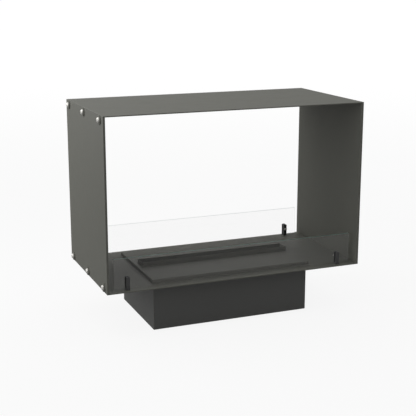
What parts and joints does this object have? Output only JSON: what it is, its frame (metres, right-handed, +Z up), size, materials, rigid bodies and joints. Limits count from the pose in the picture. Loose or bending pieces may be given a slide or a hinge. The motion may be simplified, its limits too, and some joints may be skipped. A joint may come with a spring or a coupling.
{
  "type": "water vapour fireplace",
  "caption": "See-through water vapour fireplace: open dark steel tunnel with low glass screens and a cassette below that makes the mist.",
  "frame": {"origin": "centre of the cassette housing's underside", "axes": "+Z up, +X to the right seen from the front, front towards -Y"},
  "size_m": [0.8164, 0.4, 0.642],
  "materials": {
    "coated_steel": "satin dark grey powder coat",
    "stainless": "bright stainless",
    "clear_glass": "clear toughened glass with green edges",
    "black_clip": "matte black",
    "black_rubber": "matte",
    "aluminium": "bare aluminium",
    "frosted_lens": "frosted",
    "grey_plastic": "moulded grey",
    "white_plastic": "moulded, slightly clear",
    "black_plastic": "moulded black",
    "clear_hose": "clear soft tube",
    "board_green": "solder mask"
  },
  "bodies": {
    "frame": {"top_panel": "coated_steel", "floor_panel": "coated_steel", "left_wall": "coated_steel", "right_wall": "coated_steel", "left_cover": "coated_steel", "right_cover": "coated_steel", "screw_washers": "coated_steel", "cover_screws": "stainless", "front_glass": "clear_glass", "rear_glass": "clear_glass", "glass_clip_front_left": "black_clip", "glass_clip_front_right": "black_clip", "glass_clip_rear_left": "black_clip", "glass_clip_rear_right": "black_clip", "glass_pads": "black_rubber", "clip_pinch_screws": "stainless", "clip_foot_screws": "stainless", "deck_seal": "black_rubber", "housing_floor": "coated_steel", "housing_front": "coated_steel", "housing_rear": "coated_steel", "housing_left_end": "coated_steel", "housing_right_end": "coated_steel", "housing_flange": "coated_steel", "basin_lid": "coated_steel", "mist_outlet": "coated_steel", "front_light_bar": "aluminium", "rear_light_bar": "aluminium", "front_light_lens": "frosted_lens", "rear_light_lens": "frosted_lens", "mist_basin": "grey_plastic", "mist_makers": "stainless", "maker_nuts": "grey_plastic", "float_stem": "stainless", "water_tank": "white_plastic", "water_pump": "grey_plastic", "pump_motor": "stainless", "pump_bracket": "stainless", "suction_hose": "clear_hose", "delivery_hose": "clear_hose", "left_fan_frame": "black_plastic", "right_fan_frame": "black_plastic", "fan_screws": "stainless", "control_board": "board_green", "terminal_block": "board_green", "board_parts": "black_plastic", "board_spacers": "white_plastic", "heat_sink": "aluminium", "power_supply": "aluminium", "switch_frame": "black_plastic", "cable_gland": "black_plastic", "gland_dome_nut": "black_plastic", "gland_lock_nut": "black_plastic"},
    "deck": {"deck_plate": "coated_steel"},
    "left_rotor": {"left_fan_rotor": "black_plastic"},
    "right_rotor": {"right_fan_rotor": "black_plastic"},
    "float": {"level_float": "white_plastic"},
    "cap": {"filler_cap": "black_plastic"},
    "rocker": {"switch_rocker": "grey_plastic"}
  },
  "joints": [
    {"name": "deck_lift", "type": "slide", "parent": "frame", "child": "deck", "axis": [0, 0, 1], "range_m": [0, 0.15]},
    {"name": "left_fan_spin", "type": "hinge", "parent": "frame", "child": "left_rotor", "pos_m": [-0.07, 0.06, 0.09], "axis": [0, 1, 0], "continuous": true},
    {"name": "right_fan_spin", "type": "hinge", "parent": "frame", "child": "right_rotor", "pos_m": [0.07, 0.06, 0.09], "axis": [0, 1, 0], "continuous": true},
    {"name": "float_rise", "type": "slide", "parent": "frame", "child": "float", "axis": [0, 0, 1], "range_m": [0, 0.022]},
    {"name": "cap_turn", "type": "hinge", "parent": "frame", "child": "cap", "pos_m": [-0.1804, -0.09925, 0.1185], "axis": [0, 0, 1], "range_deg": [0, 90]},
    {"name": "switch_rock", "type": "hinge", "parent": "frame", "child": "rocker", "pos_m": [0.165, 0.1445, 0.096], "axis": [0, 0, 1], "range_deg": [0, 16]}
  ]
}
